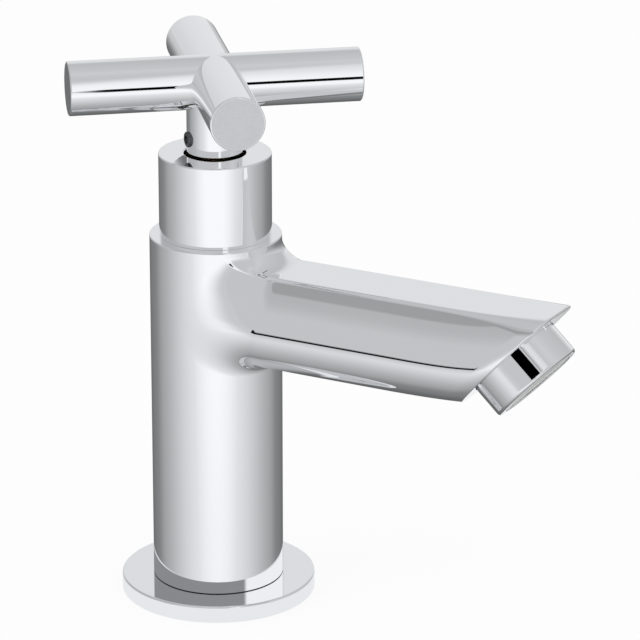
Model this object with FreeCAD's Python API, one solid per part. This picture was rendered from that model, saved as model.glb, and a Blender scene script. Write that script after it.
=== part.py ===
import FreeCAD, Part
import os
from math import cos, hypot, pi, radians, sin, tan

V = FreeCAD.Vector
UP = V(0, 0, 1)

# Cross handle basin tap, in millimetres. The origin is on the tap's axis at deck level,
# +Z is up and +X runs out along the spout.

# ---- Deck side ----
flange_r = 25.0
flange_thick = 4.5
flange_edge = 0.5
deck_gap = 12.0
gasket_margin = 3.0
gasket_width = 4.5
gasket_thick = 2.0

# ---- Inlet shank, G1/2 ----
shank_r = 10.48
shank_bore_r = 6.5
shank_below_deck = 48.0
shank_in_body = 16.0
shank_relief = 1.5
shank_relief_depth = 0.9
shank_relief_drop = 1.0
shank_chamfer = 0.8
shank_seal_thick = 1.5

# ---- Under-deck fixing ----
deck_washer_r = 19.0
deck_washer_thick = 3.0
backing_washer_r = 17.5
backing_washer_thick = 1.5
backnut_flats = 27.0
backnut_thick = 8.0
backnut_collar_r = 16.0
backnut_collar = 1.5

# ---- Column ----
column_r = 16.8
column_top = 97.0
column_edge = 0.35

# ---- Spout ----
spout_rise = 0.6
spout_top_at_axis = 90.55
spout_height = 25.1
top_flat_half = 7.2
ridge_r = 2.0
ridge_angle = 35.0
flank_r = 33.0
flank_angle = 12.0
soften_start = 60.0
belly_lift_start = 52.0
tip_x = 100.0
tip_flat_half = 3.9
tip_ridge_r = 10.5
tip_ridge_angle = 15.0
tip_top_lift = 0.9
tip_belly_lift = 3.2
tip_stations = 8
root_blend_above = 5.5
root_blend_flank = 24.0
root_blend_below = 2.0
belly_margin = 1.2
lip_r = 0.35
lip_cheek_r = 1.2

# ---- Mouth and outlet stub, M22 x 1 ----
mouth_x = 84.9
mouth_z = 78.8
nozzle_tilt = 47.6
stub_r = 11.0
stub_bore_r = 8.0
stub_length = 5.6
stub_bore_depth = 7.0
pocket_gap = 0.2
pocket_depth = 1.2

# ---- Waterways in the body ----
inlet_bore_r = 7.0
seat_z = 75.0
seat_bore_r = 5.6
seat_lip = 3.0
chamber_r = 12.4
chamber_top = 88.0
waterway_r = 5.5
waterway_z = 80.6
waterway_end = 80.0

# ---- Aerator ----
housing_r = 12.35
housing_end = 8.85
housing_start = -0.9
housing_edge = 0.9
lip_thick = 1.45
outlet_wall = 2.15
aerator_gasket_thick = 1.0
insert_gap = 0.2
insert_wall = 1.2
insert_rim_wall = 0.9
insert_start = 0.6
insert_shoulder = 0.5
insert_rim = 0.9
screen_thick = 0.6
screen_hole = 1.5
screen_pitch = 2.2
diffuser_thick = 1.2
diffuser_holes = 12
diffuser_hole_r = 0.55
diffuser_margin = 1.7

# ---- Headpart (G1/2 quarter turn) ----
bonnet_thread_r = 10.48
bonnet_flange_r = 12.9
bonnet_flange_chamfer = 0.3
bonnet_flange_thick = 3.4
bonnet_flats = 19.0
bonnet_hex_height = 6.0
bonnet_guide_r = 6.2
bonnet_top = 110.6
barrel_r = 9.2
barrel_wall = 1.3
window_height = 4.0
window_width = 9.0
bonnet_gasket_thick = 1.6
bonnet_gasket_width = 1.55
disc_thick = 3.0
disc_tab = 3.0
disc_tab_reach = 0.95
port_inner_r = 2.2
port_land = 1.25
port_angle = 84.0
disc_hub = 1.0
seat_seal_thick = 2.0
seat_seal_wall = 2.1
seal_stand = 0.8

# ---- Spindle ----
stem_r = 4.5
spline_r = 3.95
spline_depth = 0.4
spline_teeth = 20
spindle_top = 127.0
spindle_point = 0.6
drive_thick = 3.0
tongue_width = 3.0
tongue_height = 1.2
tongue_land = 1.35
drive_top_gap = 0.2
spindle_ring_r = 0.75
spindle_ring_zs = (91.0, 96.0)
slip_washer_width = 1.6
slip_washer_thick = 0.6
circlip_width = 1.35
circlip_thick = 0.8
circlip_groove = 0.45
circlip_gap = 2.4

# ---- Shroud ----
shroud_r = 14.3
shroud_top = 118.4
shroud_wall = 1.2
shroud_roof = 1.5
shroud_hole_gap = 0.75
shroud_edge = 0.35
shroud_ring_r = 0.65

# ---- Cross handle ----
bar_r = 6.85
bar_half = 36.95
bar_axis_z = 136.9
bar_edge = 0.35
bar_azimuth = 39.3
neck_r = 7.1
neck_gap = 0.3
neck_edge = 0.3
neck_wall = 1.9
socket_headroom = 1.6
adaptor_inset = 0.3
grub_r = 2.0
grub_z = 122.5
grub_turn = 12.0
grub_stand = 0.6
grub_socket_flats = 2.0
grub_socket_depth = 1.4

# ---- Clearances ----
thread_gap = 0.05
running_gap = 0.05
seat_gap = 0.05
passing_gap = 0.45
press_gap = 0.02

# ---- Levels that follow ----
shank_top = flange_thick + shank_in_body
shank_end = -shank_below_deck
socket_top = shank_top + shank_seal_thick
washer_top = -deck_gap
backing_top = washer_top - deck_washer_thick
backnut_top = backing_top - backing_washer_thick
backnut_end = backnut_top - backnut_thick
relief_top = backnut_end - shank_relief_drop
gasket_outer_r = flange_r - gasket_margin
gasket_inner_r = gasket_outer_r - gasket_width
seal_top = seat_z + seat_seal_thick
fixed_disc_top = seal_top + disc_thick
rotating_disc_top = fixed_disc_top + disc_thick
drive_top = rotating_disc_top + drive_thick
barrel_bore_r = barrel_r - barrel_wall
disc_r = barrel_bore_r - running_gap
port_outer_r = disc_r - port_land
disc_hub_r = port_inner_r + disc_hub
stem_bore_r = stem_r + running_gap
flange_top = column_top + bonnet_flange_thick
hex_top = flange_top + bonnet_hex_height
bonnet_gasket_inner_r = bonnet_thread_r + thread_gap
bonnet_gasket_r = bonnet_gasket_inner_r + bonnet_gasket_width
circlip_low = bonnet_top + slip_washer_thick + 2 * seat_gap
shroud_inner_r = shroud_r - shroud_wall
shroud_hole_r = neck_r + shroud_hole_gap
neck_start = shroud_top + neck_gap
neck_socket_r = neck_r - neck_wall
neck_socket_top = spindle_top + socket_headroom
adaptor_start = neck_start + adaptor_inset
pocket_r = housing_r + pocket_gap
outlet_r = housing_r - outlet_wall
lip_start = housing_end - lip_thick
insert_r = stub_bore_r - insert_gap
insert_bore_r = insert_r - insert_wall
insert_flange_r = stub_r - seat_gap
insert_rim_r = outlet_r - seat_gap
screen_seat_r = insert_rim_r - insert_rim_wall
screen_low = lip_start - insert_shoulder
rise = tan(radians(spout_rise))
tilt = radians(nozzle_tilt)
outward = V(sin(tilt), 0, -cos(tilt))
mouth = V(mouth_x, 0, mouth_z)


def cylinder(r, low, high):
    """An upright cylinder on the tap's axis."""
    return Part.makeCylinder(r, high - low, V(0, 0, low))


def ring(outer_r, inner_r, low, high):
    """An upright ring on the tap's axis."""
    return cylinder(outer_r, low, high).cut(cylinder(inner_r, low, high))


def turned(profile):
    """A solid turned about the tap's axis from (radius, height) corners."""
    points = [V(r, 0, z) for r, z in profile]
    face = Part.Face(Part.makePolygon(points + points[:1]))
    return face.revolve(V(0, 0, 0), UP, 360)


def round_ring(outer_r, wire_r, z):
    """A ring of round section lying level about the tap's axis."""
    return Part.makeTorus(outer_r - wire_r, wire_r, V(0, 0, z), UP)


def prism(corners, low, high):
    """An upright prism over a closed outline of (x, y) corners."""
    points = [V(x, y, low) for x, y in corners]
    return Part.Face(Part.makePolygon(points + points[:1])).extrude(V(0, 0, high - low))


def hexagon(flats, low, high):
    """An upright hexagonal prism across the given flats."""
    corner = flats / 2 / cos(pi / 6)
    return prism([(corner * cos(k * pi / 3), corner * sin(k * pi / 3)) for k in range(6)], low, high)


def hex_blank(flats, low, high):
    """A hexagonal prism with its corners turned off to a 30 degree bevel at both ends."""
    bevel_r = flats / 2
    corner = bevel_r / cos(pi / 6)
    drop = (corner - bevel_r) * tan(pi / 6)
    bevels = [(bevel_r, low), (corner, low + drop), (corner, high - drop), (bevel_r, high)]
    barrel = turned([(0, low)] + bevels + [(0, high)])
    return hexagon(flats, low, high).common(barrel)


def spline_star(root_r, tip_r, low, high):
    """A prism of pointed spline teeth."""
    corners = []
    for k in range(spline_teeth):
        for half, r in ((0, tip_r), (0.5, root_r)):
            angle = 2 * pi * (k + half) / spline_teeth
            corners.append((r * cos(angle), r * sin(angle)))
    return prism(corners, low, high)


def sector(r, angle, centre_angle, low, high):
    """A pie slice about the tap's axis, cut from a cylinder."""
    slice_ = Part.makeCylinder(r, high - low, V(0, 0, low), UP, angle)
    slice_.rotate(V(0, 0, 0), UP, centre_angle - angle / 2)
    return slice_


def on_nozzle(shape):
    """Carry a shape from the upright axis to the nozzle's, with height as distance out of the mouth."""
    shape.Placement = FreeCAD.Placement(mouth, FreeCAD.Rotation(UP, outward)).multiply(shape.Placement)
    return shape


def circles_of(shape, r, z):
    """The circular edges of one radius at one height on the tap's axis."""
    found = []
    for edge in shape.Edges:
        if isinstance(edge.Curve, Part.Circle) and abs(edge.Curve.Radius - r) < 0.01:
            centre = edge.Curve.Center
            if abs(centre.z - z) < 0.01 and hypot(centre.x, centre.y) < 0.01:
                found.append(edge)
    return found


# ---- Deck side ----
def base_flange():
    """The ring that covers the deck hole, with a groove under it for the gasket."""
    flange = ring(flange_r, shank_r + passing_gap, 0, flange_thick)
    rims = circles_of(flange, flange_r, 0) + circles_of(flange, flange_r, flange_thick)
    return flange.makeFillet(flange_edge, rims).cut(ring(gasket_outer_r, gasket_inner_r, 0, gasket_thick))


def deck_gasket():
    """The flat gasket in the flange's groove."""
    return ring(gasket_outer_r - seat_gap, gasket_inner_r + seat_gap, 0, gasket_thick)


def inlet_shank():
    """The threaded tail, with a relief between the backnut's thread and the supply's."""
    relief_low = relief_top - shank_relief
    relief_r = shank_r - shank_relief_depth
    return turned([
        (shank_bore_r, shank_end),
        (shank_r - shank_chamfer, shank_end),
        (shank_r, shank_end + shank_chamfer),
        (shank_r, relief_low),
        (relief_r, relief_low),
        (relief_r, relief_top),
        (shank_r, relief_top),
        (shank_r, shank_top),
        (shank_bore_r, shank_top),
    ])


def shank_seal():
    """The flat seal between the shank's upper end and the body."""
    return ring(shank_r - seat_gap, inlet_bore_r, shank_top, socket_top)


def deck_washer():
    """The rubber washer that presses on the deck from below."""
    return ring(deck_washer_r, shank_r + passing_gap, backing_top, washer_top)


def backing_washer():
    """The steel washer that spreads the nut's load."""
    return ring(backing_washer_r, shank_r + passing_gap, backnut_top, backing_top)


def backnut():
    """The collared hexagonal nut on the shank."""
    collar = cylinder(backnut_collar_r, backnut_top - backnut_collar, backnut_top)
    nut = hex_blank(backnut_flats, backnut_end, backnut_top).fuse(collar)
    return nut.cut(cylinder(shank_r + thread_gap, backnut_end, backnut_top))


# ---- Body ----
def eased(x, start, power):
    """How far a change along the spout has gone: 0 up to its start, 1 at the tip station."""
    return max(0, (x - start) / (tip_x - start)) ** power


def spout_section(x):
    """The spout's outline across the axis: flat top, rounded ridges, long flanks, round belly.

    Towards the tip the ridges soften, the top lifts a little and the belly rises.
    """
    softness = eased(x, soften_start, 3)
    flat_half = top_flat_half + (tip_flat_half - top_flat_half) * softness
    corner_r = ridge_r + (tip_ridge_r - ridge_r) * softness
    a = radians(ridge_angle + (tip_ridge_angle - ridge_angle) * softness)
    b = radians(flank_angle)
    level = spout_top_at_axis + x * rise
    top = level + tip_top_lift * softness
    bottom = level - spout_height + tip_belly_lift * eased(x, belly_lift_start, 2)
    ridge_centre = V(x, flat_half, top - corner_r)
    ridge_end = ridge_centre + V(0, cos(a), sin(a)) * corner_r
    flank_centre = ridge_end - V(0, cos(a), sin(a)) * flank_r
    flank_end = flank_centre + V(0, cos(b), sin(b)) * flank_r
    belly_r = (flank_end.z - bottom) / (1 + sin(b))
    belly_centre = flank_end - V(0, cos(b), sin(b)) * belly_r
    sweeps = (
        (ridge_centre, corner_r, pi / 2, a),
        (flank_centre, flank_r, a, b),
        (belly_centre, belly_r, b, -pi / 2),
    )
    right = [
        [centre + V(0, cos(t), sin(t)) * r for t in (start, (start + end) / 2, end)]
        for centre, r, start, end in sweeps
    ]
    left = [[V(p.x, -p.y, p.z) for p in reversed(arc)] for arc in reversed(right)]
    edges = [Part.Arc(*arc).toShape() for arc in right]
    edges.append(Part.makeLine(right[-1][2], left[0][0]))
    edges += [Part.Arc(*arc).toShape() for arc in left]
    edges.append(Part.makeLine(left[-1][2], right[0][0]))
    return Part.Wire(edges)


def spout_blank():
    """The spout before its mouth is cut: a straight length, then a loft through changing sections."""
    start = min(soften_start, belly_lift_start)
    straight = Part.Face(spout_section(0)).extrude(V(start, 0, start * rise))
    step = (tip_x - start) / tip_stations
    sections = [spout_section(start + k * step) for k in range(tip_stations + 1)]
    return straight.fuse(Part.makeLoft(sections, True, False))


def beyond_mouth():
    """The space outside the mouth plane, which the spout is cut back from."""
    size = 4 * spout_height
    return on_nozzle(Part.makeBox(size, size, size, V(-size / 2, -size / 2, 0)))


def root_edges(shape):
    """Numbers and ends of the edges where the spout leaves the column."""
    found = []
    for number, edge in enumerate(shape.Edges, 1):
        points = edge.discretize(5)
        on_column = all(abs(hypot(p.x, p.y) - column_r) < 0.01 for p in points)
        between = all(p.x > 0 and flange_thick < p.z < column_top for p in points)
        if on_column and between and not isinstance(edge.Curve, Part.Line):
            found.append((number, edge))
    return found


def lip_edges(shape):
    """Numbers and ends of the edges round the cut mouth."""
    found = []
    for number, edge in enumerate(shape.Edges, 1):
        if all(abs((p - mouth).dot(outward)) < 0.01 for p in edge.discretize(5)):
            found.append((number, edge))
    return found


def root_blend(point):
    """Radius of the blend between spout and column: fullest low on the flanks, tight underneath."""
    below_top = spout_top_at_axis + point.x * rise - point.z
    if below_top < spout_height / 4:
        return root_blend_above
    if below_top < spout_height - belly_margin:
        return root_blend_flank
    return root_blend_below


def lip_blend(point):
    """Radius of the softened lip: fine at the top and bottom of the mouth, fuller on its cheeks."""
    breadth = min(1, abs(point.y) / pocket_r)
    return lip_r + (lip_cheek_r - lip_r) * breadth ** 2


def end_radii(loop, radius):
    """Each edge of a loop with its two end radii, taken in the direction of the loop's first edge."""
    listed = []
    for number, edge in loop:
        ends = [radius(edge.valueAt(edge.FirstParameter)), radius(edge.valueAt(edge.LastParameter))]
        if edge.Orientation != loop[0][1].Orientation:
            ends.reverse()
        listed.append((number, *ends))
    return listed


def softened(casting):
    """The casting with its root and its lip rounded by radii that change along their edges."""
    document = FreeCAD.newDocument("casting")
    blank = document.addObject("Part::Feature", "blank")
    blank.Shape = casting
    blend = document.addObject("Part::Fillet", "blend")
    blend.Base = blank
    blend.Edges = end_radii(root_edges(casting), root_blend) + end_radii(lip_edges(casting), lip_blend)
    document.recompute()
    return blend.Shape.copy()


def waterways():
    """The hollows of the body: shank socket, inlet, seat, valve chamber, spout bore and thread."""
    start = V(chamber_r / 2, 0, waterway_z)
    along = V(waterway_end - start.x, 0, (waterway_end - start.x) * rise)
    parts = [
        cylinder(shank_r + thread_gap, flange_thick, socket_top),
        cylinder(inlet_bore_r, socket_top, seat_z - seat_lip),
        cylinder(seat_bore_r, seat_z - seat_lip, seat_z),
        cylinder(chamber_r, seat_z, chamber_top),
        cylinder(bonnet_thread_r + thread_gap, chamber_top, column_top),
        cylinder(bonnet_gasket_r + seat_gap, column_top - bonnet_gasket_thick, column_top),
        Part.makeCylinder(waterway_r, along.Length, start, along),
        on_nozzle(cylinder(stub_bore_r, -stub_bore_depth, stub_length)),
    ]
    return parts[0].fuse(parts[1:])


def tap_body():
    """Column and spout cast in one, with the threaded outlet stub standing in the mouth."""
    column = cylinder(column_r, flange_thick, column_top)
    casting = softened(column.fuse(spout_blank().cut(beyond_mouth())).removeSplitter())
    casting = casting.makeFillet(column_edge, circles_of(casting, column_r, column_top))
    casting = casting.cut(on_nozzle(cylinder(pocket_r, -pocket_depth, stub_length)))
    casting = casting.fuse(on_nozzle(cylinder(stub_r, -pocket_depth, stub_length)))
    return casting.cut(waterways())


# ---- Headpart ----
def headpart_bonnet():
    """The brass body of the headpart: barrel for the discs, thread, flange, hexagon and stem guide."""
    stem_bore_low = drive_top + drive_top_gap
    groove = 2 * shroud_ring_r + 2 * seat_gap
    groove_floor_r = shroud_inner_r - 2 * seat_gap - 2 * shroud_ring_r
    groove_low = column_top + (bonnet_flange_thick - groove) / 2
    bonnet = turned([
        (barrel_bore_r, seat_z + seal_stand),
        (barrel_r, seat_z + seal_stand),
        (barrel_r, chamber_top),
        (bonnet_thread_r, chamber_top),
        (bonnet_thread_r, column_top),
        (bonnet_flange_r, column_top),
        (bonnet_flange_r, groove_low),
        (groove_floor_r, groove_low),
        (groove_floor_r, groove_low + groove),
        (bonnet_flange_r, groove_low + groove),
        (bonnet_flange_r, flange_top - bonnet_flange_chamfer),
        (bonnet_flange_r - bonnet_flange_chamfer, flange_top),
        (bonnet_guide_r, flange_top),
        (bonnet_guide_r, bonnet_top),
        (stem_bore_r, bonnet_top),
        (stem_bore_r, stem_bore_low),
        (barrel_bore_r, stem_bore_low),
    ])
    inside_guide = (stem_bore_r + bonnet_guide_r) / 2
    nut = hex_blank(bonnet_flats, flange_top, hex_top).cut(cylinder(inside_guide, flange_top, hex_top))
    bonnet = bonnet.fuse(nut)
    window_corner = V(-2 * barrel_r, -window_width / 2, fixed_disc_top + seat_gap)
    window = Part.makeBox(4 * barrel_r, window_width, window_height, window_corner)
    slot_width = disc_tab + 2 * seat_gap
    slot = Part.makeBox(
        slot_width, 4 * barrel_r, fixed_disc_top - seat_z, V(-slot_width / 2, -2 * barrel_r, seat_z)
    )
    return bonnet.cut([window, slot])


def bonnet_gasket():
    """The fibre ring between the bonnet's flange and the body."""
    return ring(bonnet_gasket_r, bonnet_gasket_inner_r, column_top - bonnet_gasket_thick, column_top)


def seat_seal():
    """The rubber ring that presses the fixed disc's underside onto the seat."""
    return ring(disc_r, disc_r - seat_seal_wall, seat_z, seal_top)


def fixed_ceramic_disc():
    """The lower disc: two quarter ports, and two tabs that the barrel's slots hold."""
    disc = cylinder(disc_r, seal_top, fixed_disc_top)
    reach = disc_r + disc_tab_reach
    tabs = Part.makeBox(disc_tab, 2 * reach, disc_thick, V(-disc_tab / 2, -reach, seal_top))
    ports = [
        sector(port_outer_r, port_angle, side, seal_top, fixed_disc_top).cut(
            cylinder(port_inner_r, seal_top, fixed_disc_top)
        )
        for side in (0, 180)
    ]
    return disc.fuse(tabs).cut(ports)


def rotating_ceramic_disc():
    """The upper disc, shut over the ports at rest and clear of them after a quarter turn."""
    disc = cylinder(disc_r, fixed_disc_top, rotating_disc_top)
    gaps = [
        sector(disc_r, port_angle, side, fixed_disc_top, rotating_disc_top).cut(
            cylinder(disc_hub_r, fixed_disc_top, rotating_disc_top)
        )
        for side in (90, 270)
    ]
    groove_width = tongue_width + 2 * seat_gap
    groove = Part.makeBox(
        4 * disc_r, groove_width, tongue_height + seat_gap,
        V(-2 * disc_r, -groove_width / 2, rotating_disc_top - tongue_height - seat_gap),
    )
    return disc.cut(gaps + [groove])


def spindle():
    """The stem: drive flange with its tongue, two ring grooves, circlip groove and splined end."""
    groove = 2 * spindle_ring_r + 2 * seat_gap
    groove_floor_r = stem_r - 2 * spindle_ring_r - seat_gap
    profile = [(0, rotating_disc_top), (disc_r, rotating_disc_top), (disc_r, drive_top), (stem_r, drive_top)]
    for z in spindle_ring_zs:
        low, high = z - groove / 2, z + groove / 2
        profile += [(stem_r, low), (groove_floor_r, low), (groove_floor_r, high), (stem_r, high)]
    clip_floor_r = spline_r - circlip_groove
    clip_low = circlip_low - seat_gap
    clip_high = circlip_low + circlip_thick + seat_gap
    profile += [
        (stem_r, bonnet_top),
        (spline_r, bonnet_top),
        (spline_r, clip_low),
        (clip_floor_r, clip_low),
        (clip_floor_r, clip_high),
        (0, clip_high),
    ]
    point = turned([
        (0, clip_high),
        (spline_r, clip_high),
        (spline_r, spindle_top - spindle_point),
        (spline_r - spindle_point, spindle_top),
        (0, spindle_top),
    ])
    splined = spline_star(spline_r - spline_depth, spline_r, clip_high, spindle_top).common(point)
    tongue_reach = disc_r - tongue_land
    tongue = Part.makeBox(
        2 * tongue_reach, tongue_width, tongue_height,
        V(-tongue_reach, -tongue_width / 2, rotating_disc_top - tongue_height),
    )
    return turned(profile).fuse([tongue, splined])


def spindle_o_rings():
    """The two rings that seal the stem in its guide."""
    return Part.makeCompound([round_ring(stem_r, spindle_ring_r, z) for z in spindle_ring_zs])


def slip_washer():
    """The thin washer that the circlip turns on."""
    low = bonnet_top + seat_gap
    inner_r = spline_r + running_gap
    return ring(inner_r + slip_washer_width, inner_r, low, low + slip_washer_thick)


def spindle_circlip():
    """The open spring ring that keeps the spindle in the bonnet."""
    outer_r = spline_r + circlip_width
    clip = ring(outer_r, spline_r - circlip_groove + press_gap, circlip_low, circlip_low + circlip_thick)
    opening = Part.makeBox(2 * outer_r, circlip_gap, circlip_thick, V(0, -circlip_gap / 2, circlip_low))
    return clip.cut(opening)


# ---- Shroud ----
def shroud():
    """The turned cover over the bonnet, open below, with a round hole for the handle's neck."""
    roof = shroud_top - shroud_roof
    shell = turned([
        (shroud_inner_r, column_top),
        (shroud_r, column_top),
        (shroud_r, shroud_top),
        (shroud_hole_r, shroud_top),
        (shroud_hole_r, roof),
        (shroud_inner_r, roof),
    ])
    rims = circles_of(shell, shroud_r, shroud_top) + circles_of(shell, shroud_hole_r, shroud_top)
    return shell.makeFillet(shroud_edge, rims)


def shroud_o_ring():
    """The ring on the bonnet's flange that grips the shroud."""
    return round_ring(shroud_inner_r - seat_gap, shroud_ring_r, column_top + bonnet_flange_thick / 2)


# ---- Handle ----
def bar(azimuth):
    """One straight bar of the cross, with lightly rounded end faces."""
    along = V(cos(radians(azimuth)), sin(radians(azimuth)), 0)
    start = V(0, 0, bar_axis_z) - along * bar_half
    rod = Part.makeCylinder(bar_r, 2 * bar_half, start, along)
    rims = [edge for edge in rod.Edges if isinstance(edge.Curve, Part.Circle)]
    return rod.makeFillet(bar_edge, rims)


def grub_axis():
    """Direction of the grub screw, square to the neck and a little round from one arm."""
    angle = radians(bar_azimuth + 180 + grub_turn)
    return V(cos(angle), sin(angle), 0)


def along_grub(shape):
    """Carry a shape from the upright axis to the grub screw's, with height as distance outwards."""
    lying = FreeCAD.Placement(V(0, 0, grub_z), FreeCAD.Rotation(UP, grub_axis()))
    shape.Placement = lying.multiply(shape.Placement)
    return shape


def cross_handle():
    """Two equal bars that cross flush, on a neck with a socket for the spline adaptor."""
    neck = cylinder(neck_r, neck_start, bar_axis_z)
    neck = neck.makeFillet(neck_edge, circles_of(neck, neck_r, neck_start))
    cross = bar(bar_azimuth).fuse([bar(bar_azimuth + 90), neck])
    socket = cylinder(neck_socket_r, neck_start, neck_socket_top)
    screw_hole = along_grub(cylinder(grub_r + thread_gap, 0, 2 * neck_r))
    return cross.cut([socket, screw_hole])


def handle_grub_screw():
    """The socket set screw that locks the handle on its adaptor."""
    end = neck_r + grub_stand
    screw = cylinder(grub_r, neck_socket_r, end)
    return along_grub(screw.cut(hexagon(grub_socket_flats, end - grub_socket_depth, end)))


def spline_adaptor():
    """The sleeve between the handle's socket and the spindle's spline."""
    sleeve = cylinder(neck_socket_r - press_gap, adaptor_start, neck_socket_top - press_gap)
    teeth = spline_star(
        spline_r - spline_depth + running_gap, spline_r + running_gap, adaptor_start, spindle_top + seat_gap
    )
    return sleeve.cut(teeth)


# ---- Aerator ----
def aerator_housing():
    """The chromed cap on the outlet stub, with a rounded rim and an inner lip that carries the insert."""
    bore_r = stub_r + thread_gap
    cap = turned([
        (bore_r, housing_start),
        (housing_r, housing_start),
        (housing_r, housing_end),
        (outlet_r, housing_end),
        (outlet_r, lip_start),
        (bore_r, lip_start),
    ])
    cap = cap.makeFillet(housing_edge, circles_of(cap, housing_r, housing_end))
    return on_nozzle(cap)


def aerator_gasket():
    """The rubber ring between the stub's end and the insert."""
    gasket_end = stub_length + aerator_gasket_thick
    return on_nozzle(ring(insert_flange_r, stub_bore_r + seat_gap, stub_length, gasket_end))


def aerator_insert():
    """The moulded tube that mixes air into the water, held by its flange."""
    flange_low = stub_length + aerator_gasket_thick
    return on_nozzle(turned([
        (insert_bore_r, insert_start),
        (insert_r, insert_start),
        (insert_r, flange_low),
        (insert_flange_r, flange_low),
        (insert_flange_r, lip_start),
        (insert_rim_r, lip_start),
        (insert_rim_r, lip_start + insert_rim),
        (screen_seat_r, lip_start + insert_rim),
        (screen_seat_r, screen_low),
        (insert_bore_r, screen_low),
    ]))


def aerator_diffuser():
    """The disc of fine jets across the insert's upper end."""
    high = insert_start + diffuser_thick
    disc = cylinder(insert_bore_r - press_gap, insert_start, high)
    circle_r = insert_bore_r - diffuser_margin
    jets = []
    for k in range(diffuser_holes):
        angle = 2 * pi * k / diffuser_holes
        centre = V(circle_r * cos(angle), circle_r * sin(angle), insert_start)
        jets.append(Part.makeCylinder(diffuser_hole_r, diffuser_thick, centre))
    return on_nozzle(disc.cut(jets))


def outlet_screen():
    """The square-holed screen that the water leaves through."""
    screen_r = screen_seat_r - seat_gap
    disc = cylinder(screen_r, screen_low, screen_low + screen_thick)
    reach = screen_r - screen_hole
    steps = range(-int(reach / screen_pitch), int(reach / screen_pitch) + 1)
    holes = []
    for i in steps:
        for j in steps:
            x, y = i * screen_pitch, j * screen_pitch
            if hypot(x, y) < reach:
                corner = V(x - screen_hole / 2, y - screen_hole / 2, screen_low)
                holes.append(Part.makeBox(screen_hole, screen_hole, screen_thick, corner))
    return on_nozzle(disc.cut(holes))


PIECES = (
    base_flange, deck_gasket, inlet_shank, shank_seal, deck_washer, backing_washer, backnut,
    tap_body, headpart_bonnet, bonnet_gasket, seat_seal, fixed_ceramic_disc, rotating_ceramic_disc,
    spindle, spindle_o_rings, slip_washer, spindle_circlip, shroud, shroud_o_ring,
    cross_handle, handle_grub_screw, spline_adaptor,
    aerator_housing, aerator_gasket, aerator_insert, aerator_diffuser, outlet_screen,
)

os.makedirs("parts", exist_ok=True)
for piece in PIECES:
    shape = piece()
    shape.exportStep("parts/" + piece.__name__ + ".step")
    print(piece.__name__, len(shape.Solids), "solid(s)", shape.isValid(), round(shape.Volume, 2), "mm3")
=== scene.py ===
"""Chromed cross handle pillar tap, standing on a pale studio floor.

Lengths are in millimetres until a mesh is made. Each surface is a grid of points
worked out from two parameters, and carries its own exact normals.
"""

import math

import bpy
import numpy as np
from mathutils import Matrix


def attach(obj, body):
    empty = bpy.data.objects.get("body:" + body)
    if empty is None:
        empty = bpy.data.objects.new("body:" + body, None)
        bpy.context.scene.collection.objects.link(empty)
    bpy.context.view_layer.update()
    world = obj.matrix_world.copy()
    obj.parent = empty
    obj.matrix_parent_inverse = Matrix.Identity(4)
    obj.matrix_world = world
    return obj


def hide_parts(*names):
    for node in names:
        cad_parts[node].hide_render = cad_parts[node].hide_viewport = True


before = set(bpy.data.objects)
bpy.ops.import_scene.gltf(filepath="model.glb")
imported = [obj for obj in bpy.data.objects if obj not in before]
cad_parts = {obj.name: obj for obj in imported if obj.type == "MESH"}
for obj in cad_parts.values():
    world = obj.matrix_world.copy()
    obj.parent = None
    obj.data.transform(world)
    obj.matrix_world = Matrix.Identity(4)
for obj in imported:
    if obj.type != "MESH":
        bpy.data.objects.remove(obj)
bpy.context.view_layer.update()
bpy.context.scene.view_settings.view_transform = "Standard"

UP = np.array((0.0, 0.0, 1.0))
TURN = 2 * math.pi
AROUND = np.linspace(0, TURN, 193)

# ---- Sizes shared with the CAD source ----
flange_r, flange_thick = 25.0, 4.5
groove_r, groove_outer_r, groove_top = 17.5, 22.0, 2.0
clear_of_shank_r = 10.93
deck_low, washer_low, backing_low = -12.0, -15.0, -16.5
shank_r, shank_bore_r, shank_end, shank_top = 10.48, 6.5, -48.0, 20.5
column_r, column_top = 16.8, 97.0
spout_rise = math.tan(math.radians(0.6))
spout_top_at_axis, spout_height = 90.55, 25.1
mouth = np.array((84.9, 0.0, 78.8))
tilt = math.radians(47.6)
outward = np.array((math.sin(tilt), 0.0, -math.cos(tilt)))
inplane = np.array((-math.cos(tilt), 0.0, -math.sin(tilt)))
sideways = np.array((0.0, 1.0, 0.0))
stub_r, stub_bore_r, stub_length, stub_bore_depth = 11.0, 8.0, 5.6, 7.0
housing_r, housing_bore_r, housing_start, housing_end = 12.35, 11.05, -0.9, 8.85
outlet_r, lip_start = 10.2, 7.4
insert_bore_r, insert_neck_r, insert_r = 6.6, 7.8, 10.95
insert_start, insert_step, insert_floor = 0.6, 6.6, 6.9
insert_rim_bore_r, insert_rim_r, insert_end = 9.25, 10.15, 8.3
pocket_r, pocket_depth = 12.55, 1.2
cheek_r, cheek_length = 8.0, 3.2
foot_bevel, top_edge = 0.2, 0.35
seat_r, seat_z = 12.13, 95.4
thread_r, thread_low, socket_top = 10.53, 88.0, 22.0
chamber_r, chamber_floor = 12.4, 75.0
port_r, port_low, waterway_r = 5.6, 72.0, 7.0
shroud_r, shroud_top, shroud_roof = 14.3, 118.4, 116.9
shroud_bore_r, shroud_hole_r = 13.1, 7.85
bar_r, bar_half, bar_axis_z, bar_edge = 6.85, 36.95, 136.9, 0.35
bar_azimuth = math.radians(39.3)
neck_r, neck_start, neck_edge, neck_socket_r, neck_socket_top = 7.1, 118.7, 0.3, 5.2, 128.6
grub_r, grub_z, grub_azimuth = 2.0, 122.5, math.radians(231.3)

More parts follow.
